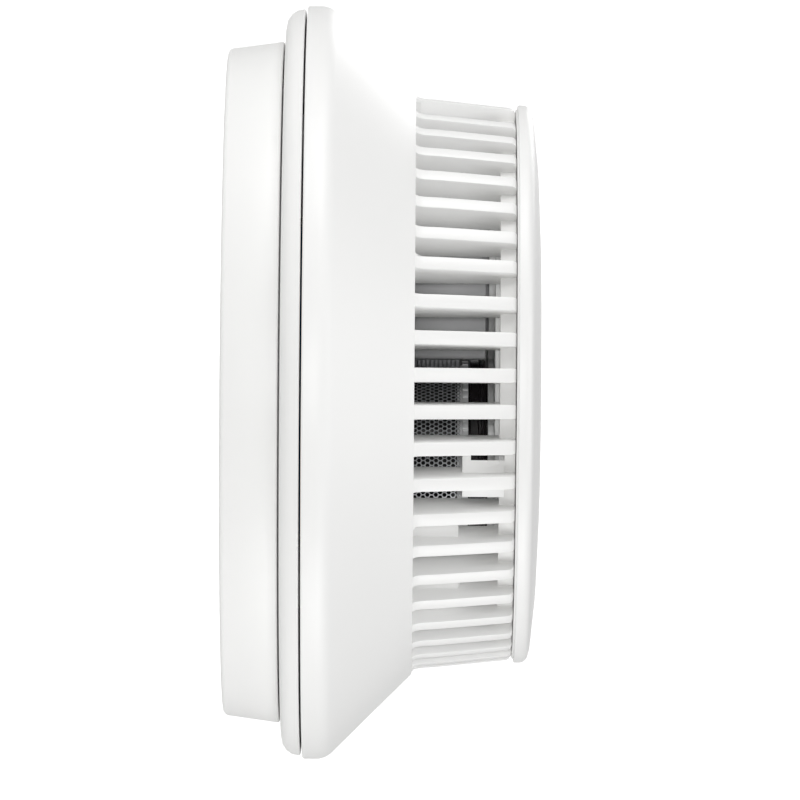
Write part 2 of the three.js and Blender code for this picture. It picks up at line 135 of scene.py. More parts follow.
def moulded(name, light, dark, gloss=(0.38, 0.46), grain=0.35 * MM, depth=0.02 * MM):
    """Injection-moulded plastic from a spark-eroded tool. The fine grain breaks up its
    highlights, and slow flow marks vary the tone and the gloss a little. The real grain is about
    0.05 mm and is drawn larger, so that it shows."""
    material = bpy.data.materials.new(name)
    material.use_nodes = True
    tree = material.node_tree
    shader = tree.nodes["Principled BSDF"]
    place = add_node(tree, "ShaderNodeTexCoord").outputs["Object"]
    eroded = add_node(tree, "ShaderNodeTexNoise", {"Vector": place, "Scale": 1 / grain, "Detail": 3})
    bump = add_node(tree, "ShaderNodeBump", {
        "Height": eroded.outputs["Fac"], "Strength": 0.12, "Distance": depth})
    flow = add_node(tree, "ShaderNodeTexNoise", {"Vector": place, "Scale": 1 / (30 * MM), "Detail": 2})
    tone = add_node(tree, "ShaderNodeMix", {
        "Factor": flow.outputs["Fac"], "A": linear(light), "B": linear(dark)}, data_type="RGBA")
    sheen = add_node(tree, "ShaderNodeMapRange", {
        "Value": flow.outputs["Fac"], "To Min": gloss[0], "To Max": gloss[1]})
    for socket, source in (
        ("Normal", bump.outputs["Normal"]), ("Base Color", tone.outputs["Result"]),
        ("Roughness", sheen.outputs["Result"]),
    ):
        tree.links.new(source, shader.inputs[socket])
    shader.inputs["IOR"].default_value = 1.52
    return material


def rounded(corners, steps=4):
    """An outline of (x, y) points in millimetres, each with an optional third number, its radius."""
    outline = []
    for i, corner in enumerate(corners):
        here = Vector(corner[:2])
        before = (Vector(corners[i - 1][:2]) - here).normalized()
        after = (Vector(corners[(i + 1) % len(corners)][:2]) - here).normalized()
        if len(corner) < 3:
            outline.append(here)
            continue
        half = before.angle(after) / 2
        centre = here + (before + after).normalized() * (corner[2] / math.sin(half))
        first, last = (here + side * (corner[2] / math.tan(half)) - centre for side in (before, after))
        for step in range(steps + 1):
            outline.append(centre + first.slerp(last, step / steps) * corner[2])
    return [(p.x, p.y) for p in outline]


def finished(piece, material, body, slot, *nodes, crease=30):
    """Shades a piece, gives it its material, and hands it to the frame."""
    piece.data.materials.clear()
    piece.data.materials.append(material)
    piece.data.polygons.foreach_set("material_index", [0] * len(piece.data.polygons))
    piece.data.shade_smooth()
    piece.data.set_sharp_from_angle(angle=math.radians(crease))
    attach(piece, body)
    if nodes:
        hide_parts(*nodes)
    return piece


def object_of(name, mesh):
    """A new object at the origin, with that mesh or that bmesh."""
    if isinstance(mesh, bmesh.types.BMesh):
        built, mesh = mesh, bpy.data.meshes.new(name)
        built.to_mesh(mesh)
        built.free()
    made = bpy.data.objects.new(name, mesh)
    bpy.context.collection.objects.link(made)
    return made


def turned(name, outline, sides=192, centre=(0, 0)):
    """A closed (radius, height) outline in millimetres, turned about +Z at the centre. An
    outline that reaches the axis is closed there."""
    mesh = bmesh.new()
    rings = []
    for r, z in outline:
        if r < 1e-6:
            rings.append([mesh.verts.new((centre[0] * MM, centre[1] * MM, z * MM))] * sides)
            continue
        turns = [2 * math.pi * i / sides for i in range(sides)]
        rings.append([mesh.verts.new((
            (centre[0] + r * math.cos(t)) * MM, (centre[1] + r * math.sin(t)) * MM, z * MM))
            for t in turns])
    for lower, upper in zip(rings, rings[1:] + rings[:1]):
        for i in range(sides):
            j = (i + 1) % sides
            corners = list(dict.fromkeys((lower[i], lower[j], upper[j], upper[i])))
            if len(corners) > 2:
                mesh.faces.new(corners)
    bmesh.ops.recalc_face_normals(mesh, faces=mesh.faces)
    return object_of(name, mesh)


def prism(name, outline, low, high, bevel=0, place=None):
    """A flat (x, y) outline in millimetres, pulled up from low to high, with rounded edges, and
    then moved by a matrix in millimetres."""
    mesh = bmesh.new()
    bottom = [mesh.verts.new((x, y, low)) for x, y in outline]
    top = [mesh.verts.new((x, y, high)) for x, y in outline]
    mesh.faces.new(bottom[::-1])
    mesh.faces.new(top)
    for i in range(len(outline)):
        j = (i + 1) % len(outline)
        mesh.faces.new((bottom[i], bottom[j], top[j], top[i]))
    bmesh.ops.recalc_face_normals(mesh, faces=mesh.faces)
    if bevel:
        bmesh.ops.bevel(
            mesh, geom=[e for e in mesh.edges if e.calc_face_angle(0) > 0.6], offset=bevel,
            segments=2, profile=0.5, affect="EDGES", clamp_overlap=True)
    mesh.transform(Matrix.Scale(MM, 4) @ (place or Matrix()))
    return object_of(name, mesh)


def box(name, x, y, z, bevel=0, place=None):
    """A block between the given pairs of limits, in millimetres."""
    outline = [(x[0], y[0]), (x[1], y[0]), (x[1], y[1]), (x[0], y[1])]
    return prism(name, outline, z[0], z[1], bevel, place)


def combined(piece, others, operation="UNION"):
    """Joins the other pieces to this one, or cuts them from it, and removes them."""
    for other in others:
        tool = piece.modifiers.new(operation, "BOOLEAN")
        tool.operation = operation
        tool.solver = "MANIFOLD"
        tool.object = other
    bpy.context.view_layer.update()
    evaluated = piece.evaluated_get(bpy.context.evaluated_depsgraph_get())
    mesh = bpy.data.meshes.new_from_object(evaluated)
    piece.modifiers.clear()
    piece.data = mesh
    for other in others:
        bpy.data.objects.remove(other)
    return piece


def turn(degrees, centre=(0, 0), height=0):
    """The matrix that turns about +Z and then moves to the centre, in millimetres."""
    return Matrix.Translation((*centre, height)) @ Matrix.Rotation(math.radians(degrees), 4, "Z")


def sector(name, inner, outer, half_angle, low, high, bevel=0, degrees=0):
    """A piece of a ring, in millimetres, centred on a direction."""
    angles = [math.radians(half_angle * (i / 8 - 1)) for i in range(17)]
    outline = [(outer * math.cos(a), outer * math.sin(a)) for a in angles]
    outline += [(inner * math.cos(a), inner * math.sin(a)) for a in reversed(angles)]
    return prism(name, outline, low, high, bevel, turn(degrees))


def slot_outline(x, length, width, steps=12):
    """A straight slot with round ends, along X, in millimetres."""
    ends = [(x + side * (length - width) / 2, side * math.pi / 2) for side in (1, -1)]
    return [
        (cx + width / 2 * math.cos(a), width / 2 * math.sin(a))
        for cx, middle in ends
        for a in (middle - math.pi + i * math.pi / steps for i in range(steps + 1))
    ]


ACROSS = Matrix.Rotation(math.pi / 2, 4, "Y")  # lays a turned piece down along X
LUG_DIRECTIONS = (0, 120, 240)
ceiling_abs = moulded("moulded ABS, mounting plate", "#F3F3F2", "#EFEFEE")
plate = turned("mounting_plate_shell", rounded([
    (0, 0), (52.2, 0, 0.9), (53.4, 8.8, 0.35), (51.4, 8.8, 0.35), (50.2, 2.4, 0.8), (0, 2.4)]))
plate_parts = []
for direction in LUG_DIRECTIONS:
    plate_parts.append(sector("lug", 47.4, 51.9, 8, 6.6, 8.2, 0.25, direction))
    plate_parts.append(sector("lug_stop", 47.4, 51.9, 0.8, 1.9, 8.0, 0.2, direction - 9.4))
    plate_parts.append(sector("stiffening_rib", 22, 50.8, 0.9, 1.9, 3.0, 0.15, direction + 60))
plate_parts.append(box("striker", (36.5, 39.5), (-4, -2.4), (1.9, 3.3), 0.2, turn(30)))
combined(plate, plate_parts)
plate_holes = [
    prism("screw_slot", slot_outline(x, 12, 5), -1, 4) for x in (-30, 30)
] + [
    prism("screw_recess", slot_outline(x, 15, 8), 1.6, 4) for x in (-30, 30)
] + [turned("cable_hole", [(0, -1), (10, -1), (10, 4), (0, 4)], 96)]
combined(plate, plate_holes, "DIFFERENCE")
finished(plate, ceiling_abs, "plate", "white_abs", "mounting_plate")

# ---- Rear housing -------------------------------------------------------------------------
# The back half of the head in the same white ABS: a round boss that enters the plate, with the
# three locking lugs, and the thin rounded flange behind the seam.
housing_abs = moulded("moulded ABS, rear housing", "#F3F3F2", "#EFEFEE")
COLUMNS = [(39.8 * math.cos(math.radians(a)), 39.8 * math.sin(math.radians(a))) for a in (-40, 80, 200)]
rear = turned("rear_housing_shell", rounded([
    (0, 3.6), (46.8, 3.6, 0.6), (46.8, 9.1, 0.3), (58.5, 9.1, 2.75), (58.5, 12.1, 0.28), (56.3, 12.1, 0.2),
    (56.3, 11.0, 0.3), (44.8, 11.0, 0.3), (44.8, 5.4, 0.6), (0, 5.4)]))
rear_parts = [sector("locking_lug", 46.2, 49.8, 8, 4.0, 6.2, 0.25, d) for d in LUG_DIRECTIONS]
rear_parts += [turned("column", [(0, 4.9), (4.2, 4.9), (4.2, 15.9), (0, 15.9)], 48, c) for c in COLUMNS]
rear_parts += [
    box("cell_cradle", (x - 0.8, x + 0.8), (10.4, 25.6), (4.9, 9.5), 0.15) for x in (-16, 16)]
combined(rear, rear_parts)
rear_holes = [turned("counterbore", [(0, 2), (3.1, 2), (3.1, 7.7), (0, 7.7)], 48, c) for c in COLUMNS]
rear_holes += [turned("screw_hole", [(0, 7), (1.6, 7), (1.6, 17), (0, 17)], 32, c) for c in COLUMNS]
rear_holes += [box("slider_slot", (36.1, 39.9), (-6.6, 2.4), (2, 7), 0, turn(30))]
rear_holes += [turned("cell_seat", [(0, -17), (7.5, -17), (7.5, 17), (0, 17)], 64)]
CELL_PLACE = Matrix.Translation((0, 18 * MM, 13.1 * MM)) @ ACROSS
rear_holes[-1].data.transform(CELL_PLACE)
combined(rear, rear_holes, "DIFFERENCE")
finished(rear, housing_abs, "head", "white_abs", "rear_housing")

# ---- Front cover --------------------------------------------------------------------------
# One white ABS moulding: the rim, the 45 degree cone, the cage of forty-eight fins and the
# plate that closes the cage. Every seventh fin stands where two slides of the tool meet.
cover_abs = moulded("moulded ABS, front cover", "#F4F4F3", "#F0F0EF")
# Painted shade: the recessed faces behind the fins' outer faces are painted darker towards the closing
# plate, where the fins shade them.
painted_shade_tree = cover_abs.node_tree
unshaded_tone = painted_shade_tree.nodes["Principled BSDF"].inputs["Base Color"].links[0].from_socket
cover_place = add_node(painted_shade_tree, "ShaderNodeTexCoord").outputs["Object"]
axes = add_node(painted_shade_tree, "ShaderNodeSeparateXYZ", {"Vector": cover_place})
off_axis = add_node(painted_shade_tree, "ShaderNodeVectorMath", {0: cover_place, 1: (1, 1, 0)}, operation="MULTIPLY")
radius = add_node(painted_shade_tree, "ShaderNodeVectorMath", {0: off_axis.outputs[0]}, operation="LENGTH")
inside_faces = add_node(painted_shade_tree, "ShaderNodeMapRange", {
    "Value": radius.outputs["Value"], "From Min": 42.0 * MM, "From Max": 43.0 * MM, "To Min": 1.0,
    "To Max": 0.0})
outside_drum = add_node(painted_shade_tree, "ShaderNodeMapRange", {
    "Value": radius.outputs["Value"], "From Min": 38.6 * MM, "From Max": 39.4 * MM})
near_plate = add_node(painted_shade_tree, "ShaderNodeMapRange", {
    "Value": axes.outputs["Z"], "From Min": 37 * MM, "From Max": 42 * MM, "To Max": 0.22})
band = add_node(painted_shade_tree, "ShaderNodeMath", {
    0: inside_faces.outputs[0], 1: outside_drum.outputs[0]}, operation="MULTIPLY")
painted_shade = add_node(painted_shade_tree, "ShaderNodeMath", {
    0: band.outputs[0], 1: near_plate.outputs[0]}, operation="MULTIPLY")
# Painted shade: the cover's tone is mixed towards dark grey by this mask, at most 0.22 of the way, in the
# recesses near the plate.
painted_shade_tone = add_node(painted_shade_tree, "ShaderNodeMix", {
    "Factor": painted_shade.outputs[0], "A": unshaded_tone, "B": linear("#8E8C86")}, data_type="RGBA")
painted_shade_tree.links.new(painted_shade_tone.outputs["Result"], painted_shade_tree.nodes["Principled BSDF"].inputs["Base Color"])
FIN_PLACES = 49  # one of them has no fin
FIRST_FIN = math.radians(-91.55 - 9 * 360 / FIN_PLACES)
ROUND = 288  # steps round the largest turned pieces
cover = turned("front_cover_shell", rounded([
    (57.0, 12.4), (59, 12.4, 0.35), (59, 16, 3.5), (45.6, 29.4, 0.3), (39.2, 29.4, 0.2), (39.2, 27.6, 0.2),
    (44.6, 27.6, 0.5), (57.0, 15.2, 2.0)], 6), ROUND)
closing_plate = turned("closing_plate", rounded([
    (0, 41.7), (38.3, 41.7, 0.15), (38.5, 42.4, 0.1), (41.5, 42.4, 0.15), (41.5, 44.9, 0.2),
    (39.2, 44.9, 0.2), (39.2, 43.5, 0.4), (37.3, 42.9, 0.4), (0, 42.9)]), ROUND)


def ring_of(name, piece, count, first, material, centre=(0, 0), rows=1, row_step=0.0, shift=0.0,
            left_out=0):
    """Repeats a piece about an axis with Geometry Nodes, and in rows up that axis, each row
    turned by half a step. The shift is the angle by which the seventh piece stands back and, a
    third of it, the fourteenth stands forward. The last places of a ring may be left out.
    Returns one plain object, without the piece."""
    tree = bpy.data.node_groups.new("pieces round the axis", "GeometryNodeTree")
    face = tree.interface
    face.new_socket("Geometry", in_out="OUTPUT", socket_type="NodeSocketGeometry")
    face.new_socket("Geometry", in_out="INPUT", socket_type="NodeSocketGeometry")
    sizes = {}
    for label, kind, value in (
        ("Places", "Int", count), ("Count", "Int", count - left_out),
        ("First direction", "Float", first), ("Pillar shift", "Float", shift),
        ("Rows", "Int", rows), ("Row step", "Float", row_step * MM),
        ("Centre", "Vector", (centre[0] * MM, centre[1] * MM, 0)),
    ):
        socket = face.new_socket(label, in_out="INPUT", socket_type="NodeSocket" + kind)
        sizes[socket.identifier] = value
    given = add_node(tree, "NodeGroupInput").outputs

    def maths(operation, a, b=0.0):
        return add_node(tree, "ShaderNodeMath", {0: a, 1: b}, operation=operation).outputs[0]

    index = add_node(tree, "GeometryNodeInputIndex").outputs[0]
    row = maths("FLOOR", maths("DIVIDE", maths("ADD", index, 0.5), given["Count"]))
    column = maths("SUBTRACT", index, maths("MULTIPLY", row, given["Count"]))
    pitch = maths("DIVIDE", 2 * math.pi, given["Places"])
    half_step = maths("MULTIPLY", maths("MODULO", row, 2.0), 0.5)
    steps = maths("ADD", column, half_step)
    angle = maths("ADD", maths("MULTIPLY", steps, pitch), given["First direction"])
    seventh, fourteenth = maths("COMPARE", column, 6.0), maths("COMPARE", column, 13.0)
    pillars = maths("SUBTRACT", maths("DIVIDE", fourteenth, 3.0), seventh)
    angle = maths("ADD", angle, maths("MULTIPLY", pillars, given["Pillar shift"]))
    points = add_node(tree, "GeometryNodePoints", {
        "Count": maths("MULTIPLY", given["Count"], given["Rows"])})
    lift = add_node(tree, "ShaderNodeCombineXYZ", {"Z": maths("MULTIPLY", row, given["Row step"])})
    put = add_node(tree, "ShaderNodeVectorMath", {0: lift.outputs[0], 1: given["Centre"]}, operation="ADD")
    placed = add_node(tree, "GeometryNodeSetPosition", {
        "Geometry": points.outputs[0], "Position": put.outputs[0]})
    facing = add_node(tree, "ShaderNodeCombineXYZ", {"Z": angle})
    copies = add_node(tree, "GeometryNodeInstanceOnPoints", {
        "Points": placed.outputs[0], "Instance": given["Geometry"], "Rotation": facing.outputs[0]})
    real = add_node(tree, "GeometryNodeRealizeInstances", {"Geometry": copies.outputs[0]})
    dressed = add_node(tree, "GeometryNodeSetMaterial", {"Geometry": real.outputs[0]})
    dressed.inputs["Material"].default_value = material
    add_node(tree, "NodeGroupOutput", {"Geometry": dressed.outputs[0]})
    repeat = piece.modifiers.new("repeat", "NODES")
    repeat.node_group = tree
    for identifier, value in sizes.items():
        repeat[identifier] = value
    bpy.context.view_layer.update()
    evaluated = piece.evaluated_get(bpy.context.evaluated_depsgraph_get())
    made = object_of(name, bpy.data.meshes.new_from_object(evaluated))
    bpy.data.objects.remove(piece)
    return made


stand_up = Matrix.Rotation(math.pi / 2, 4, "X")  # an (x, y) outline becomes (radius, height)
one_fin = prism("fin", [
    (39.2, 28.4), (44.9, 28.4), (45.2, 29.4), (44.85, 29.9), (44.65, 30.8), (44.5, 33), (43.95, 38.2),
    (43.3, 44.2), (43.1, 44.6), (42.6, 44.9), (39.2, 44.9)], -1.08, 1.08, 0.2, stand_up)
fins = ring_of("fins", one_fin, FIN_PLACES, FIRST_FIN, cover_abs, shift=math.radians(0.6), left_out=1)
cover_parts = [closing_plate, fins]
cover_parts += [
    turned("column", [(0, 16.2), (2.6, 16.2), (2.6, 36.3), (2.3, 36.6), (0, 36.6)], 48, c) for c in COLUMNS]
CHAMBER = (17, -5)
SOUNDER = (-18.7, -12.7)
for centre, inner, outer in ((CHAMBER, 18.5, 21.2), (SOUNDER, 12.5, 15)):
    cover_parts.append(turned("collar", rounded([
        (inner, 40.8), (outer, 40.8, 0.15), (outer, 42.2), (inner, 42.2)]), 128, centre))
cover_parts.append(box("latch", (9.8, 17.3), (-39.6, -37.6), (36.8, 43.2), 0.1))
cover_parts.append(box("fin_rib", (21.5, 23.5), (-35.1, -32.5), (28.4, 36.3), 0.1))
WEB_R = 0.8  # millimetres, the fillet at the root of a pillar
for number, side, shift in ((0, -1, 0), (7, -1, -0.6), (14, 1, 0.2), (21, 1, 0)):
    direction = math.degrees(FIRST_FIN) + (number - 1) * 360 / FIN_PLACES + shift
    web = [(0, 0)] + [(WEB_R - WEB_R * math.sin(a), WEB_R - WEB_R * math.cos(a)) for a in (
        i * math.pi / 12 for i in range(7))]
    place = turn(direction) @ Matrix.Translation((0, side * 1.05, 29.35)) @ Matrix.Rotation(
        math.pi / 2, 4, "Y") @ Matrix.Rotation(math.pi / 2, 4, "Z")
    cover_parts.append(prism("pillar_web", [(x * side, y) for x, y in web], 39.3, 45.0, 0, place))
combined(cover, cover_parts)
STEM = (-4.5, 11.5)
LIGHT_PIPE = (-4, 20.4)
DISC_POSTS = [(30 * math.cos(math.radians(a)), 30 * math.sin(math.radians(a))) for a in (45, 165, 285)]
cover_holes = [turned("screw_hole", [(0, 15), (1.55, 15), (1.55, 28), (0, 28)], 32, c) for c in COLUMNS]
cover_holes += [turned("hole", [(0, 40), (r, 40), (r, 45), (0, 45)], 48, c) for r, c in (
    (2.5, STEM), (1.8, LIGHT_PIPE), (4.5, SOUNDER), *((2.0, post) for post in DISC_POSTS))]
cover_holes.append(box("latch_window", (10.95, 11.72), (-44, -37), (38.1, 43.2)))
combined(cover, cover_holes, "DIFFERENCE")
finished(cover, cover_abs, "head", "white_abs", "front_cover")

# ---- Front disc ---------------------------------------------------------------------------
# The shallow domed cap over the cage, white ABS with a slightly finer grain. It is staked to
# the closing plate by three posts and leaves a thin shadow gap to the fins.
disc_abs = moulded("moulded ABS, front disc", "#F4F4F3", "#F0F0EF", grain=0.3 * MM)
disc = turned("front_disc_shell", rounded([
    (16.1, 45.5, 0.2), (17.6, 45.5, 0.2), (17.6, 47.2), (34, 46.7), (40.4, 46.1, 0.8), (41.6, 45.0, 0.2),
    (43.0, 45.0, 0.1), (43.1, 45.3), (43.7, 45.3, 0.15), (43.7, 47.2, 1.3), (41.8, 47.75, 3),
    (34, 48.55, 20), (24, 49.0, 30), (16.1, 49.1, 0.35)], 6), ROUND)
disc_parts = [turned("post", [(0, 40.8), (1.6, 40.8), (1.6, 47.3), (0, 47.3)], 32, c) for c in DISC_POSTS]
combined(disc, disc_parts)
pipe_hole = turned("pipe_hole", [(0, 44), (1.8, 44), (1.8, 50), (0, 50)], 48, LIGHT_PIPE)
combined(disc, [pipe_hole], "DIFFERENCE")
finished(disc, disc_abs, "head", "white_abs", "front_disc")

# ---- Test button --------------------------------------------------------------------------
# A round white cap with a shallow finger dish. A lip under the disc keeps it in, and its stem
# reaches down between the chamber and the sounder to the switch on the board.
button_abs = moulded("moulded ABS, test button", "#F3F3F2", "#EFEFEE", grain=0.3 * MM)
button = turned("test_button_cap", rounded([
    (0, 46.9), (13.9, 46.9, 0.4), (13.9, 44.0, 0.2), (17.0, 44.0, 0.2), (17.0, 44.9, 0.2),
    (15.7, 44.9, 0.1), (15.7, 49.1, 0.5), (12.8, 49.1, 2), (9.5, 48.6, 6), (0, 48.5)], 6))
combined(button, [turned("stem", [(0, 28.7), (1.8, 28.7), (2.1, 29.0), (2.1, 47.4), (0, 47.4)], 32, STEM)])
finished(button, button_abs, "test_button", "white_abs", "test_button")

# ---- Light pipe ---------------------------------------------------------------------------
# A clear acrylic rod that carries the status light from the board to the front. Its flange is
# held under the closing plate and its domed end is level with the disc.
acrylic = bpy.data.materials.new("moulded clear acrylic")
acrylic.use_nodes = True
acrylic_tree = acrylic.node_tree
clear = acrylic_tree.nodes["Principled BSDF"]
clear.inputs["Base Color"].default_value = linear("#F4F8FA")
clear.inputs["Transmission Weight"].default_value = 1
clear.inputs["IOR"].default_value = 1.49
acrylic_place = add_node(acrylic_tree, "ShaderNodeTexCoord").outputs["Object"]
streaks = add_node(acrylic_tree, "ShaderNodeTexNoise", {
    "Vector": acrylic_place, "Scale": 1 / (2 * MM), "Detail": 2})
polish = add_node(acrylic_tree, "ShaderNodeMapRange", {
    "Value": streaks.outputs["Fac"], "To Min": 0.02, "To Max": 0.12})
acrylic_tree.links.new(polish.outputs["Result"], clear.inputs["Roughness"])
pipe = turned("light_pipe_rod", rounded([
    (0, 25.8), (1.5, 25.8, 0.2), (1.5, 39.2), (2.3, 39.2, 0.15), (2.3, 40.5, 0.15), (1.5, 40.5),
    (1.5, 48.7, 0.4), (0, 48.95)]), 48, LIGHT_PIPE)
finished(pipe, acrylic, "head", "clear_acrylic", "light_pipe")

# ---- Main board ---------------------------------------------------------------------------
# A round glass-epoxy laminate under green solder mask, clamped between the columns of the two
# housings. It carries everything electrical; its copper tracks show as lighter lines.


def laminate(name):
    """Etched and solder-masked glass epoxy: lighter green copper tracks in rows 3 mm apart under
    a satin mask, and gold-coloured holes where the tracks change sides."""
    material = bpy.data.materials.new(name)
    material.use_nodes = True
    tree = material.node_tree
    shader = tree.nodes["Principled BSDF"]
    place = add_node(tree, "ShaderNodeTexCoord").outputs["Object"]
    tracks = add_node(tree, "ShaderNodeTexBrick", {
        "Vector": place, "Color1": linear("#1E5A3A"), "Color2": linear("#1B5336"),
        "Mortar": linear("#3B8258"), "Scale": 1 / (6 * MM), "Mortar Size": 0.03, "Brick Width": 0.9,
        "Row Height": 0.5}, offset=0.37)
    spots = add_node(tree, "ShaderNodeTexVoronoi", {"Vector": place, "Scale": 1 / (5 * MM)})
    holes = add_node(tree, "ShaderNodeMath", {0: spots.outputs["Distance"], 1: 0.09}, operation="LESS_THAN")
    colour = add_node(tree, "ShaderNodeMix", {
        "Factor": holes.outputs[0], "A": tracks.outputs["Color"], "B": linear("#B99B52")}, data_type="RGBA")
    bump = add_node(tree, "ShaderNodeBump", {
        "Height": tracks.outputs["Fac"], "Strength": 0.3, "Distance": 0.035 * MM}, invert=True)
    tree.links.new(colour.outputs["Result"], shader.inputs["Base Color"])
    tree.links.new(bump.outputs["Normal"], shader.inputs["Normal"])
    shader.inputs["Roughness"].default_value = 0.38
    return material


board_laminate = laminate("solder-masked glass epoxy, main board")
board = turned("main_board_laminate", rounded([(0, 21), (44, 21, 0.1), (44, 22.6, 0.1), (0, 22.6)]), 128)
combined(board, [turned("column_hole", [(0, 20), (3.2, 20), (3.2, 24), (0, 24)], 48, c) for c in COLUMNS],
         "DIFFERENCE")
finished(board, board_laminate, "head", "board_laminate", "main_board")

# ---- Parts on the main board --------------------------------------------------------------
# The push switch under the button's stem, the status light, the controller, the step-up coil,
# the buffer capacitor and the power slide switch, all soldered to the board.
part_black = moulded(
    "moulded black epoxy and nylon", "#26262A", "#1C1C1F", (0.4, 0.6), 0.12 * MM, 0.01 * MM)
tact = box("tact_switch_body", (-3, 3), (-3, 3), (22.9, 26.4), 0.25, turn(0, STEM))
tact_parts = [turned("rivet", rounded([(0, 26.2), (0.45, 26.2), (0.45, 26.55, 0.12), (0, 26.6)]), 16,
                     (STEM[0] + x, STEM[1] + y)) for x in (-2.4, 2.4) for y in (-2.4, 2.4)]
combined(tact, tact_parts)
combined(tact, [turned("well", [(0, 24.9), (2.1, 24.9), (2.1, 27), (0, 27)], 32, STEM)], "DIFFERENCE")
finished(tact, part_black, "head", "black_plastic", "tact_switch")

plunger_plastic = moulded("moulded grey acetal", "#9C9C9E", "#909092", (0.3, 0.4), 0.15 * MM)
plunger = turned("tact_plunger_pin", rounded([
    (0, 25.6), (1.75, 25.6, 0.1), (1.75, 27.7, 0.2), (1.1, 28.1, 0.2), (0, 28.1)]), 32, STEM)
finished(plunger, plunger_plastic, "tact_plunger", "grey_plastic", "tact_plunger")

led = box("status_led_package", (-1.75, 1.75), (-1.4, 1.4), (22.9, 24.3), 0.12, turn(0, LIGHT_PIPE))
led_lens = turned("lens", rounded([(0, 24.1), (1.1, 24.1), (1.1, 25.2, 0.5), (0, 25.2)]), 32, LIGHT_PIPE)
combined(led, [led_lens])
finished(led, acrylic, "head", "clear_acrylic", "status_led")

chip = box("controller_package", (-24, -15), (13, 22), (23.0, 24.3), 0.12)
chip_parts = [box("lead", (-24.0 + x, -23.65 + x), (y, y + 1.4), (22.9, 23.6), 0.05)
              for x in [1.1 + 1.1 * i for i in range(7)] for y in (12.4, 21.2)]
combined(chip, chip_parts)
lead_mark = turned("first_lead_mark", [(0, 24.2), (0.45, 24.2), (0.45, 25), (0, 25)], 24, (-22.8, 14.2))
combined(chip, [lead_mark], "DIFFERENCE")
finished(chip, part_black, "head", "black_plastic", "controller_chip")

winding = [(2.4, 24.2)]
for i in range(10):
    winding += [(3.05, 24.3 + 0.5 * i), (3.25, 24.55 + 0.5 * i)]
coil = turned("step_up_coil_drum", [
    (0, 22.9), (3.9, 22.9), (4, 23.0), (4, 23.9), (3.9, 24.0), *winding, (2.4, 29.4), (3.9, 29.4),
    (4, 29.5), (4, 30.7), (3.9, 30.8), (0.8, 30.8), (0.5, 30.4), (0, 30.4)], 64, (-16, 30))
finished(coil, part_black, "head", "black_plastic", "step_up_coil")


def shrunk_sleeve(name, light, dark):
    """Heat-shrunk film in one plain colour: glossy, with soft ripples about 4 mm long, where the
    film is thinner and lighter or thicker and darker."""
    material = bpy.data.materials.new(name)
    material.use_nodes = True
    tree = material.node_tree
    shader = tree.nodes["Principled BSDF"]
    place = add_node(tree, "ShaderNodeTexCoord").outputs["Object"]
    ripple = add_node(tree, "ShaderNodeTexNoise", {"Vector": place, "Scale": 1 / (4 * MM), "Detail": 2})
    bump = add_node(tree, "ShaderNodeBump", {
        "Height": ripple.outputs["Fac"], "Strength": 0.4, "Distance": 0.1 * MM})
    tone = add_node(tree, "ShaderNodeMix", {
        "Factor": ripple.outputs["Fac"], "A": linear(light), "B": linear(dark)}, data_type="RGBA")
    for socket, source in (("Base Color", tone.outputs["Result"]), ("Normal", bump.outputs["Normal"])):
        tree.links.new(source, shader.inputs[socket])
    shader.inputs["Roughness"].default_value = 0.28
    return material


can_film = shrunk_sleeve("heat-shrunk sleeve, capacitor", "#2B2E36", "#1D1F25")
CAPACITOR = (19, 27)
capacitor = turned("buffer_capacitor_can", rounded([
    (0, 22.9), (2.9, 22.9, 0.2), (3.15, 23.6, 0.2), (3.15, 24.4, 0.1), (2.85, 24.8, 0.2), (3.15, 25.2, 0.1),
    (3.15, 33.6, 0.25), (2.75, 33.9), (2.6, 34.1, 0.1), (2.3, 33.8, 0.1), (0, 33.8)]), 48, CAPACITOR)
combined(capacitor, [
    box("vent_score", (-1.9, 1.9), (-0.12, 0.12), (33.7, 34.2), 0, turn(a, CAPACITOR)) for a in (45, 135)],
    "DIFFERENCE")
finished(capacitor, can_film, "head", "printed_sleeve", "buffer_capacitor")

AT_SLIDER = turn(30, (38 * math.cos(math.radians(30)), 38 * math.sin(math.radians(30))))
slide_body = box("slide_switch_body", (-3, 3), (-8, 4), (17.5, 20.7), 0.3, AT_SLIDER)
combined(slide_body, [
    box("crimp", (-3.2, 3.2), (y - 0.6, y + 0.6), (19.0, 20.6), 0.1, AT_SLIDER) for y in (-6.5, 2.5)])
slider_window = box("slider_window", (-1.2, 1.2), (-6.0, 1.2), (17, 18), 0, AT_SLIDER)
combined(slide_body, [slider_window], "DIFFERENCE")
finished(slide_body, part_black, "head", "black_plastic", "slide_switch")

# ---- Power slider -------------------------------------------------------------------------
# A black acetal slider in a slot in the back of the head. A striker on the plate pushes it home
# as the head is twisted on, which switches the alarm on.
slider_acetal = moulded("moulded black acetal", "#1E1E20", "#161618", (0.3, 0.42), 0.2 * MM)
slider = box("power_slider_knob", (-1.5, 1.5), (-2, 2), (2.8, 6.2), 0.3, AT_SLIDER)
combined(slider, [
    box("flange", (-2.6, 2.6), (-2.4, 2.4), (5.8, 7.4), 0.2, AT_SLIDER),
    box("post", (-1, 1), (-1, 1), (7, 17.2), 0.2, AT_SLIDER)])
combined(slider, [
    box("grip", (-2, 2), (y - 0.18, y + 0.18), (2.5, 3.1), 0, AT_SLIDER) for y in (-1.2, -0.4, 0.4, 1.2)],
    "DIFFERENCE")
finished(slider, slider_acetal, "power_slider", "black_plastic", "power_slider")

# ---- Radio --------------------------------------------------------------------------------
# A small radio board behind the main board, its chip under a folded tinned-steel can with vent
# holes, and a wire aerial in black insulation that follows the edge of the housing.


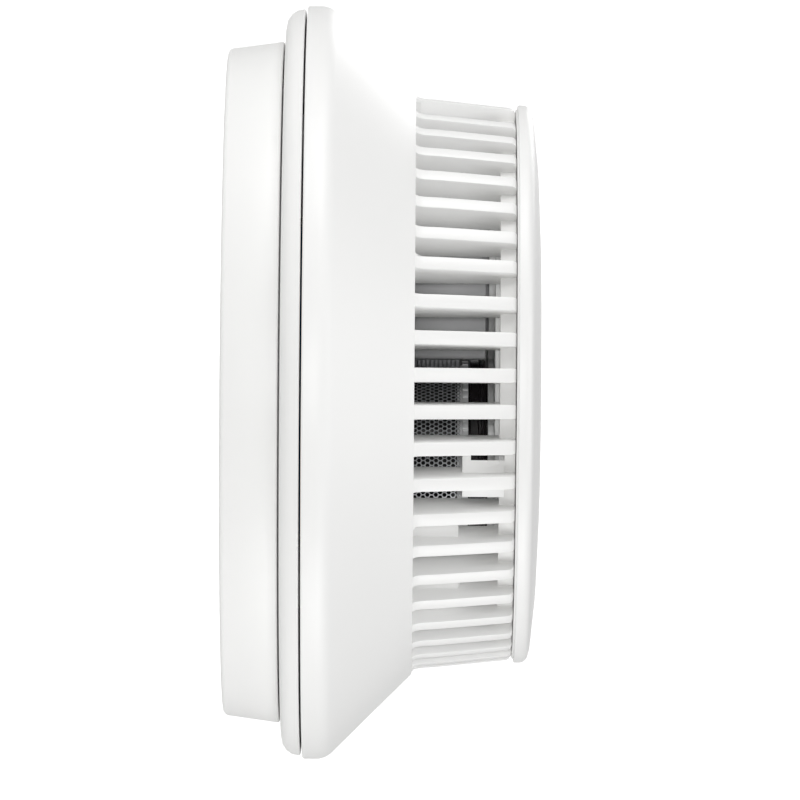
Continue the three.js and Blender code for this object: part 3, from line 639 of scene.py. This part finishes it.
def rolled(name, light, dark, roughness, stretch=(1, 1, 8), line=0.4 * MM):
    """Rolled, etched or plated metal: fine marks, closer together along Z unless the stretch is
    even, that vary its gloss and its tone and leave a faint relief."""
    material = bpy.data.materials.new(name)
    material.use_nodes = True
    tree = material.node_tree
    shader = tree.nodes["Principled BSDF"]
    place = add_node(tree, "ShaderNodeMapping", {
        "Vector": add_node(tree, "ShaderNodeTexCoord").outputs["Object"], "Scale": stretch})
    marks = add_node(tree, "ShaderNodeTexNoise", {
        "Vector": place.outputs[0], "Scale": 1 / line, "Detail": 4})
    tone = add_node(tree, "ShaderNodeMix", {
        "Factor": marks.outputs["Fac"], "A": linear(light), "B": linear(dark)}, data_type="RGBA")
    sheen = add_node(tree, "ShaderNodeMapRange", {
        "Value": marks.outputs["Fac"], "To Min": roughness - 0.08, "To Max": roughness + 0.08})
    bump = add_node(tree, "ShaderNodeBump", {
        "Height": marks.outputs["Fac"], "Strength": 0.15, "Distance": 0.01 * MM})
    for socket, source in (
        ("Base Color", tone.outputs["Result"]), ("Roughness", sheen.outputs["Result"]),
        ("Normal", bump.outputs["Normal"]),
    ):
        tree.links.new(source, shader.inputs[socket])
    shader.inputs["Metallic"].default_value = 1
    return material


radio_laminate = laminate("solder-masked glass epoxy, radio board")
radio = box("radio_board_laminate", (-22, 4), (-34, -18), (18.2, 19.4), 0.08)
combined(radio, [
    turned("edge_contact", [(0, 18), (0.5, 18), (0.5, 20), (0, 20)], 16, (x, -34))
    for x in range(-19, 2, 2)], "DIFFERENCE")
finished(radio, radio_laminate, "head", "board_laminate", "radio_board")
tin_can = rolled("folded tinned steel", "#C9CBCD", "#B4B6B9", 0.28)
can = box("radio_shield_can", (-20, -4), (-32.5, -19.5), (15.2, 17.9), 0.3)
combined(can, [
    turned("vent", [(0, 14.9), (0.55, 14.9), (0.55, 15.5), (0, 15.5)], 20, (x, y))
    for x in range(-18, -4, 3) for y in (-29.5, -26, -22.5)], "DIFFERENCE")
finished(can, tin_can, "head", "tinned_steel", "radio_shield")

insulation = moulded("extruded wire insulation", "#232325", "#19191B", (0.3, 0.45), 0.8 * MM)
aerial = bmesh.new()
aerial_rings = []
for i in range(65):
    bend = math.radians(-84 - 64 * i / 64)
    outward = Vector((math.cos(bend), math.sin(bend), 0))
    middle = outward * 39 + Vector((0, 0, 17.4))
    aerial_rings.append([aerial.verts.new((
        middle + outward * 0.7 * math.cos(a) + Vector((0, 0, 0.7 * math.sin(a)))) * MM)
        for a in (2 * math.pi * k / 16 for k in range(16))])
for first, second in zip(aerial_rings, aerial_rings[1:]):
    for k in range(16):
        aerial.faces.new((first[k], first[(k + 1) % 16], second[(k + 1) % 16], second[k]))
aerial.faces.new(aerial_rings[0])
aerial.faces.new(aerial_rings[-1][::-1])
bmesh.ops.recalc_face_normals(aerial, faces=aerial.faces)
finished(object_of("aerial_wire_insulation", aerial), insulation, "head", "wire_insulation", "aerial_wire")

# ---- Battery ------------------------------------------------------------------------------
# The long-life cell lies behind the board in a plain shrunk sleeve, between two nickel-plated
# spring-steel clips that reach up to the board.
cell_film = shrunk_sleeve("heat-shrunk sleeve, cell", "#41628C", "#35537A")
cell = turned("battery_cell_can", rounded([
    (0, -25), (6.0, -25), (7.1, -24.6, 0.4), (7.1, 23.4, 0.5), (6.2, 24.0, 0.2), (3.4, 24.0, 0.2),
    (2.6, 24.4), (2.6, 25.2, 0.3), (0, 25.2)]), 96)
cell.data.transform(CELL_PLACE)
finished(cell, cell_film, "head", "printed_sleeve", "battery_cell")
spring_steel = rolled("rolled spring steel, nickel plated", "#C4C2BC", "#ABA9A3", 0.3)
for name, side in (("positive", 1), ("negative", -1)):
    clip = prism("battery_clip_%s_strip" % name, [
        (25.6, 6.2), (26.1, 6.2), (26.1, 20.2), (27.6, 20.2), (27.6, 20.7), (25.6, 20.7)], -5, 5, 0.1,
        Matrix.Translation((0, 18, 0)) @ stand_up @ Matrix.Scale(side, 4, (1, 0, 0)))
    combined(clip, [box("window", (side * 25 - 1, side * 25 + 2), (13 + y, 15 + y), (7.5, 11.5), 0)
                    for y in (1, 7)], "DIFFERENCE")
    finished(clip, spring_steel, "head", "spring_steel", "battery_clip_" + name)

# ---- Optical chamber ----------------------------------------------------------------------
# The sensing chamber in matt black polystyrene: a base that holds the emitter and the receiver,
# and twenty-eight bent vanes on a ring that let smoke in and keep light out.
chamber_black = moulded("moulded black polystyrene", "#151516", "#0F0F10", (0.42, 0.58), 0.25 * MM)
EMITTER_SIDE, RECEIVER_SIDE = 20, 150  # degrees round the chamber
base = turned("chamber_base_tray", rounded([
    (0, 22.9), (21, 22.9, 0.2), (21, 24.9, 0.2), (19.9, 24.9), (19.9, 26.4, 0.1), (19.2, 26.4, 0.1),
    (19.2, 24.9), (0, 24.9)]), 128, CHAMBER)
base_parts = [
    box("holder", (9.6, 14.8), (-3.8, 3.8), (24.5, 33.4), 0.3, turn(a, CHAMBER))
    for a in (EMITTER_SIDE, RECEIVER_SIDE)]
base_parts.append(box("light_stop", (2, 3.2), (2.6, 9), (24.5, 33.4), 0.2, turn(-5, CHAMBER)))
combined(base, base_parts)
aims = [turn(a, CHAMBER, 30) @ ACROSS for a in (EMITTER_SIDE, RECEIVER_SIDE)]
bores = [turned("bore", [(0, 9), (2.8, 9), (2.8, 14.4), (0, 14.4)], 48) for _ in aims]
for bore, aim in zip(bores, aims):
    bore.data.transform(Matrix.Scale(MM, 4) @ aim @ Matrix.Scale(1 / MM, 4))
combined(base, bores, "DIFFERENCE")
finished(base, chamber_black, "head", "black_plastic", "chamber_base")

emitter = turned("ir_led_lens", rounded([
    (0, 8.2), (1.2, 8.3, 0.3), (2.2, 9.2, 0.8), (2.45, 10.2), (2.45, 13.6, 0.1), (0, 13.6)]), 48)
emitter.data.transform(Matrix.Scale(MM, 4) @ aims[0] @ Matrix.Scale(1 / MM, 4))
finished(emitter, acrylic, "head", "clear_acrylic", "ir_led")
receiver = box("photodiode_package", (-1.8, 1.8), (-1.8, 1.8), (10.2, 12.8), 0.25, aims[1])
combined(receiver, [box("window", (-1.3, 1.3), (-1.3, 1.3), (10.0, 10.35), 0, aims[1])], "DIFFERENCE")
finished(receiver, part_black, "head", "black_plastic", "photodiode")

vane = box("vane", (15.9, 18.8), (-0.4, 0.4), (25.3, 35.6), 0.15)
combined(vane, [box("bend", (-0.4, 0.4), (-2, 2), (25.3, 35.6), 0.15, turn(35, (17.1, 0.9)))])
labyrinth = turned("labyrinth_ring", rounded([
    (15.4, 35.2, 0.2), (18.8, 35.2, 0.2), (18.8, 36.4, 0.2), (15.4, 36.4, 0.2)]), 128, CHAMBER)
combined(labyrinth, [ring_of("vanes", vane, 28, math.radians(4), chamber_black, CHAMBER)])
finished(labyrinth, chamber_black, "head", "black_plastic", "labyrinth")

# ---- Insect screen ------------------------------------------------------------------------
# An etched stainless sheet rolled round the chamber: about 2,900 hexagonal openings 0.6 mm
# wide. A knurled tinned ring clamps its edge.
SCREEN_CELLS, SCREEN_ROWS = 171, 17
SCREEN_STEP = 11.4 / (SCREEN_ROWS + 1 / 3)  # from row to row; the sheet is 11.4 mm high
etched = rolled("etched stainless sheet", "#D2D3D5", "#B9BABD", 0.5, (1, 1, 1), 0.5 * MM)
etched.node_tree.nodes["Principled BSDF"].inputs["Metallic"].default_value = 0.6  # dull from the acid
cell_mesh = bmesh.new()
half_turn = math.pi / SCREEN_CELLS
corner_places = [(0, 2), (1, 1), (1, -1), (0, -2), (-1, -1), (-1, 1)]
levels = []
for radius in (20.7, 20.58):
    for size in (1, 0.78):
        levels.append([cell_mesh.verts.new((
            radius * math.cos(u * half_turn * size) * MM, radius * math.sin(u * half_turn * size) * MM,
            (25.2 + SCREEN_STEP * (2 + v * size) / 3) * MM)) for u, v in corner_places])
outer_edge, outer_hole, inner_edge, inner_hole = levels
for one, two in ((outer_edge, outer_hole), (outer_hole, inner_hole), (inner_hole, inner_edge)):
    for k in range(6):
        cell_mesh.faces.new((one[k], one[(k + 1) % 6], two[(k + 1) % 6], two[k]))
screen = ring_of("insect_screen_sheet", object_of("opening", cell_mesh), SCREEN_CELLS, 0, etched, CHAMBER,
                 SCREEN_ROWS, SCREEN_STEP)
sheet_mesh = bmesh.new()
sheet_mesh.from_mesh(screen.data)
bmesh.ops.remove_doubles(sheet_mesh, verts=sheet_mesh.verts, dist=0.005 * MM)
for above in (True, False):
    rim_edges = [e for e in sheet_mesh.edges if e.is_boundary and (e.verts[0].co.z > 31 * MM) == above]
    bmesh.ops.bridge_loops(sheet_mesh, edges=rim_edges)
bmesh.ops.recalc_face_normals(sheet_mesh, faces=sheet_mesh.faces)
sheet_mesh.to_mesh(screen.data)
sheet_mesh.free()
finished(screen, etched, "head", "spring_steel", "insect_screen", crease=25)

clamp_tin = rolled("knurled tinned steel", "#FBFBFB", "#F4F4F5", 0.62, (1, 1, 1), 0.6 * MM)
clamp_tin.node_tree.nodes["Principled BSDF"].inputs["Metallic"].default_value = 0.3  # dull, oxidised
clamp = turned("screen_clamp_ring", rounded([
    (18.6, 36.9), (19.1, 36.9), (19.1, 36.1, 0.1), (19.9, 36.1, 0.1), (19.9, 36.9), (20.95, 36.9, 0.1),
    (20.95, 37.8, 0.1), (18.6, 37.8)]), 192, CHAMBER)
knurl = prism("knurl", rounded([
    (20.7, -0.56), (21.2, -0.52, 0.15), (21.2, 0.52, 0.15), (20.7, 0.56)], 3), 36.93, 37.77)
combined(clamp, [ring_of("knurls", knurl, 84, 0.01, clamp_tin, CHAMBER)])
finished(clamp, clamp_tin, "head", "tinned_steel", "screen_clamp")

# ---- Chamber lid --------------------------------------------------------------------------
# The black lid closes the chamber. It is glossier than the base, and the bead round its edge
# catches the light as one fine line.
lid_black = moulded(
    "moulded glossy black polystyrene", "#2A2627", "#221F20", (0.2, 0.3), 0.4 * MM, 0.006 * MM)
lid = turned("chamber_lid_cap", rounded([
    (0, 38.1), (17.3, 38.1), (17.3, 37.2, 0.1), (18.3, 37.2, 0.1), (18.3, 38.1), (20.9, 38.1, 0.15),
    (20.9, 39.3, 0.15), (21.2, 39.45, 0.1), (21.2, 39.8, 0.1), (20.9, 39.95, 0.15), (20.9, 40.15, 0.1),
    (20.5, 40.5, 0.1), (18.2, 40.5), (18.2, 41.4, 0.2), (0, 41.4)]), 256, CHAMBER)
finished(lid, lid_black, "head", "black_plastic", "chamber_lid")

# ---- Sounder ------------------------------------------------------------------------------
# A brass disc with a piezo ceramic on it is held at its edge between a grey base and a grey
# resonator cup, whose port opens through the closing plate. Both are round but for one square
# corner. Two brass pins bring the current.
sounder_grey = moulded("moulded grey ABS, sounder", "#C2C2C3", "#B6B6B8", (0.45, 0.55), 0.4 * MM)
SOUNDER_CORNER = [(0, -15, 0.1), (15, -15, 0.9), (15, 0, 0.1), (0, 0, 0.1)]
sounder_base = turned("sounder_base_body", rounded([
    (0, 22.9), (15, 22.9, 0.2), (15, 28.4, 0.15), (0, 28.4)]), 128, SOUNDER)
combined(sounder_base, [prism("corner", rounded(SOUNDER_CORNER), 22.9, 28.4, 0.12, turn(0, SOUNDER))])
sounder_cuts = [turned("well", [(0, 22), (12.4, 22), (12.4, 29), (0, 29)], 128, SOUNDER)]
sounder_cuts += [
    box("vent", (11.5, 16), (-1.5, 1.5), (22, 24.6), 0, turn(a, SOUNDER)) for a in (90, 170, 250)]
combined(sounder_base, sounder_cuts, "DIFFERENCE")
finished(sounder_base, sounder_grey, "head", "grey_plastic", "sounder_base")
cup = turned("sounder_cup_body", rounded([
    (0, 29.3), (15, 29.3, 0.2), (15, 39.7, 0.1), (14.7, 39.9, 0.1), (14.2, 40.5, 0.2), (12.2, 40.5),
    (12.2, 41.4, 0.2), (0, 41.4)]), 128, SOUNDER)
combined(cup, [prism("corner", rounded(SOUNDER_CORNER), 29.3, 40.3, 0.3, turn(0, SOUNDER))])
combined(cup, [
    turned("resonator", [(0, 29), (12.9, 29), (12.9, 38.6), (0, 38.6)], 128, SOUNDER),
    turned("port", [(0, 38), (4.5, 38), (4.5, 42), (0, 42)], 64, SOUNDER)], "DIFFERENCE")
finished(cup, sounder_grey, "head", "grey_plastic", "sounder_cup")
sounder_brass = rolled("rolled brass sheet", "#C9A862", "#B8954F", 0.3)
brass_disc = turned("piezo_disc_sheet", rounded([
    (0, 28.7), (13.6, 28.7), (13.6, 29, 0.08), (0, 29)]), 128, SOUNDER)
finished(brass_disc, sounder_brass, "head", "brass", "piezo_disc")
fired = moulded("fired piezo ceramic, silvered", "#E6DFCF", "#D8CFBC", (0.55, 0.7), 0.6 * MM)
ceramic = turned("piezo_ceramic_wafer", rounded([
    (0, 29.3), (9.5, 29.3), (9.5, 29.55, 0.06), (0, 29.55)]), 128, SOUNDER)
finished(ceramic, fired, "head", "piezo_ceramic", "piezo_ceramic")
for name, x in (("inner", 0), ("outer", 11)):
    pin = turned("sounder_pin_%s_post" % name, rounded([
        (0, 22.9), (0.45, 22.9), (0.6, 23.3), (0.6, 28.1, 0.1), (0.35, 28.4, 0.1), (0, 28.4)]), 24,
        (SOUNDER[0] + x, SOUNDER[1]))
    finished(pin, sounder_brass, "head", "brass", "sounder_pin_" + name)

# ---- Housing screws -----------------------------------------------------------------------
# Three zinc-plated thread-forming screws with cross recesses go in from behind and hold the
# rear housing to the front cover's columns.
zinc = rolled("zinc-plated steel", "#BFC1C6", "#A9ABB0", 0.32, (1, 1, 1), 0.6 * MM)
for i, column in enumerate(COLUMNS):
    thread = []
    for k in range(19):
        thread += [(1.05, 8.0 + k), (1.25, 8.3 + k), (1.25, 8.4 + k), (1.05, 8.7 + k)]
    thread = [(r, z) for r, z in thread if z < 25.8]
    screw = turned("housing_screw_%d_steel" % (i + 1), [
        (0, 5.7), (1.9, 5.7), (2.4, 5.95), (2.7, 6.5), (2.7, 7.3), (2.6, 7.4), (1.05, 7.4), *thread,
        (1.0, 26.0), (0.55, 27.2), (0, 27.2)], 48, column)
    combined(screw, [
        box("recess", (-1.6, 1.6), (-0.35, 0.35), (5, 6.7), 0, turn(a, column)) for a in (20, 110)],
        "DIFFERENCE")
    finished(screw, zinc, "head", "spring_steel", "housing_screw_%d" % (i + 1))

# ---- Label --------------------------------------------------------------------------------
# A blank polyester label on the back of the head, whose backing shows through as a faint
# weave. Nothing is printed on it.
film = bpy.data.materials.new("printed polyester film")
film.use_nodes = True
film_tree = film.node_tree
film_shader = film_tree.nodes["Principled BSDF"]
film_place = add_node(film_tree, "ShaderNodeTexCoord").outputs["Object"]
weave = add_node(film_tree, "ShaderNodeTexNoise", {
    "Vector": film_place, "Scale": 1 / (0.8 * MM), "Detail": 3})
film_tone = add_node(film_tree, "ShaderNodeMix", {
    "Factor": weave.outputs["Fac"], "A": linear("#EDEDEA"), "B": linear("#DFDFDB")}, data_type="RGBA")
film_bump = add_node(film_tree, "ShaderNodeBump", {
    "Height": weave.outputs["Fac"], "Strength": 0.2, "Distance": 0.02 * MM})
film_tree.links.new(film_tone.outputs["Result"], film_shader.inputs["Base Color"])
film_tree.links.new(film_bump.outputs["Normal"], film_shader.inputs["Normal"])
film_shader.inputs["Roughness"].default_value = 0.45
label = prism("blank_label_film", rounded([
    (-14, -34, 1.5), (14, -34, 1.5), (14, -18, 1.5), (-14, -18, 1.5)], 8), 3.1, 3.3, 0.05)
finished(label, film, "head", "label_film", "blank_label")
